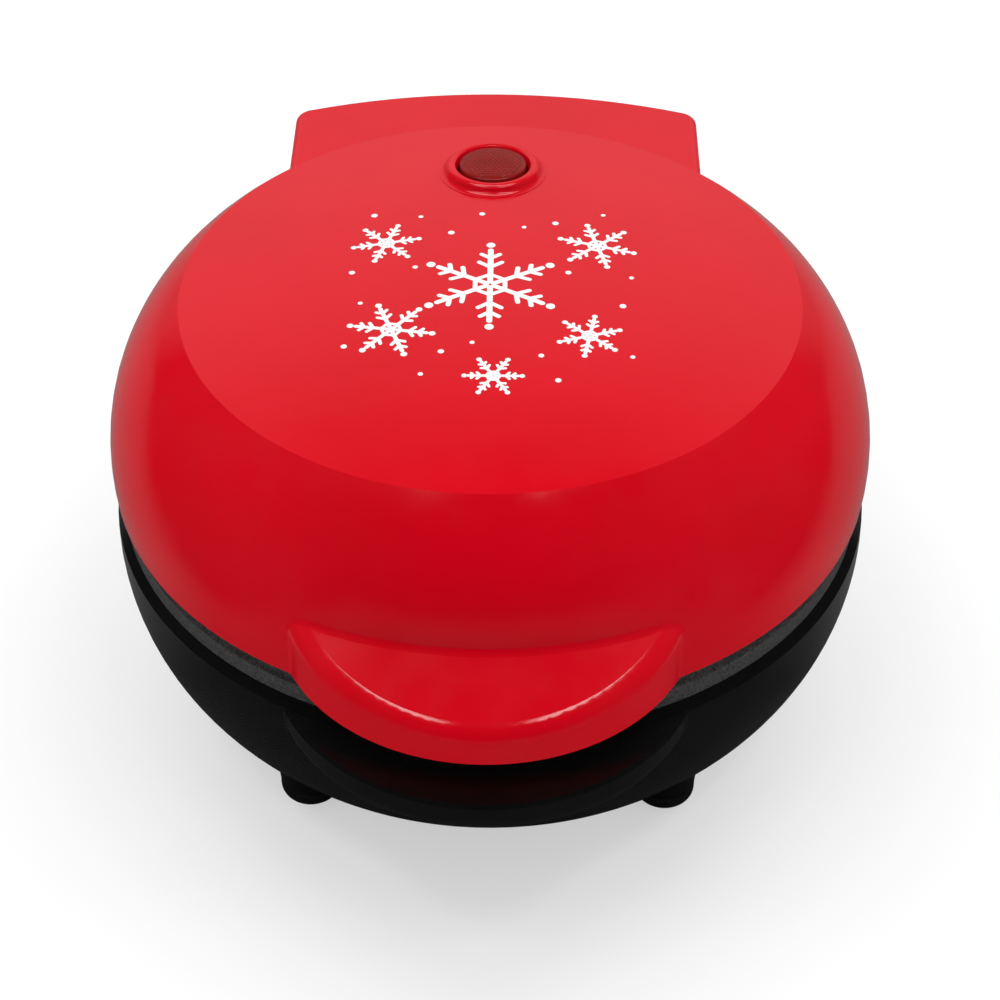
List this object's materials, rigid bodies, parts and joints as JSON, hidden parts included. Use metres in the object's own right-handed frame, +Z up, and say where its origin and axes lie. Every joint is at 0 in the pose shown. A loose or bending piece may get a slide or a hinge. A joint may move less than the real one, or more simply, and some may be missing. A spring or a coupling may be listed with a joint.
{
  "type": "mini waffle maker",
  "caption": "Small round electric waffle maker: two hinged shells with studded cooking plates, a crescent handle over a matching lip, and a flat rear tab over the hinge.",
  "frame": {"origin": "middle of the overall box, on the table that the feet stand on", "axes": "+Z up, the handle points to -Y and the hinge is at +Y, +X to the right seen from the front"},
  "size_m": [0.1272, 0.165, 0.0852],
  "materials": {
    "red_gloss": "glossy red moulding",
    "black_gloss": "glossy black moulding",
    "black_textured": "fine spark texture",
    "lens_red": "translucent red-brown, dimpled inside",
    "white_plastic": "satin moulding",
    "lamp_glass": "clear neon lamp",
    "nonstick_aluminium": "cast, black non-stick coating",
    "heater_steel": "tubular heater sheath",
    "sheet_steel": "pressed sheet",
    "sheet_aluminium": "bright pressed sheet",
    "zinc_steel": "zinc plated",
    "dark_phenolic": "moulded phenolic body",
    "fuse_metal": "fuse case and leads",
    "ceramic_white": "steatite ceramic",
    "lead_insulation": "silicone wire insulation",
    "glass_fibre_sleeve": "braided glass-fibre sleeve",
    "black_rubber": "moulded rubber"
  },
  "bodies": {
    "base": {"base_housing": "black_gloss", "lower_trim_ring": "black_textured", "lower_waffle_plate": "nonstick_aluminium", "lower_heating_element": "heater_steel", "lower_element_clamp": "sheet_steel", "lower_heat_shield": "sheet_aluminium", "lower_plate_screws": "zinc_steel", "lower_clamp_screws": "zinc_steel", "thermostat": "dark_phenolic", "thermal_fuse": "fuse_metal", "terminal_block": "ceramic_white", "lower_element_leads": "lead_insulation", "base_lead_sleeve": "glass_fibre_sleeve", "cord_grommet": "black_rubber", "cord_clamp": "white_plastic", "cord_clamp_screws": "zinc_steel", "hinge_pin_left": "zinc_steel", "hinge_pin_right": "zinc_steel", "foot_front_left": "black_rubber", "foot_front_right": "black_rubber", "foot_rear_left": "black_rubber", "foot_rear_right": "black_rubber"},
    "lid": {"lid_housing": "red_gloss", "indicator_lens": "lens_red", "lamp_holder": "white_plastic", "indicator_lamp": "lamp_glass", "upper_trim_ring": "black_textured", "upper_waffle_plate": "nonstick_aluminium", "upper_heating_element": "heater_steel", "upper_element_clamp": "sheet_steel", "upper_heat_shield": "sheet_aluminium", "upper_plate_screws": "zinc_steel", "upper_clamp_screws": "zinc_steel", "upper_element_leads": "lead_insulation", "lid_lead_sleeve": "glass_fibre_sleeve"}
  },
  "joints": [
    {"name": "lid_hinge", "type": "hinge", "parent": "base", "child": "lid", "pos_m": [0, 0.06925, 0.054], "axis": [-1, 0, 0], "range_deg": [0, 100]}
  ]
}
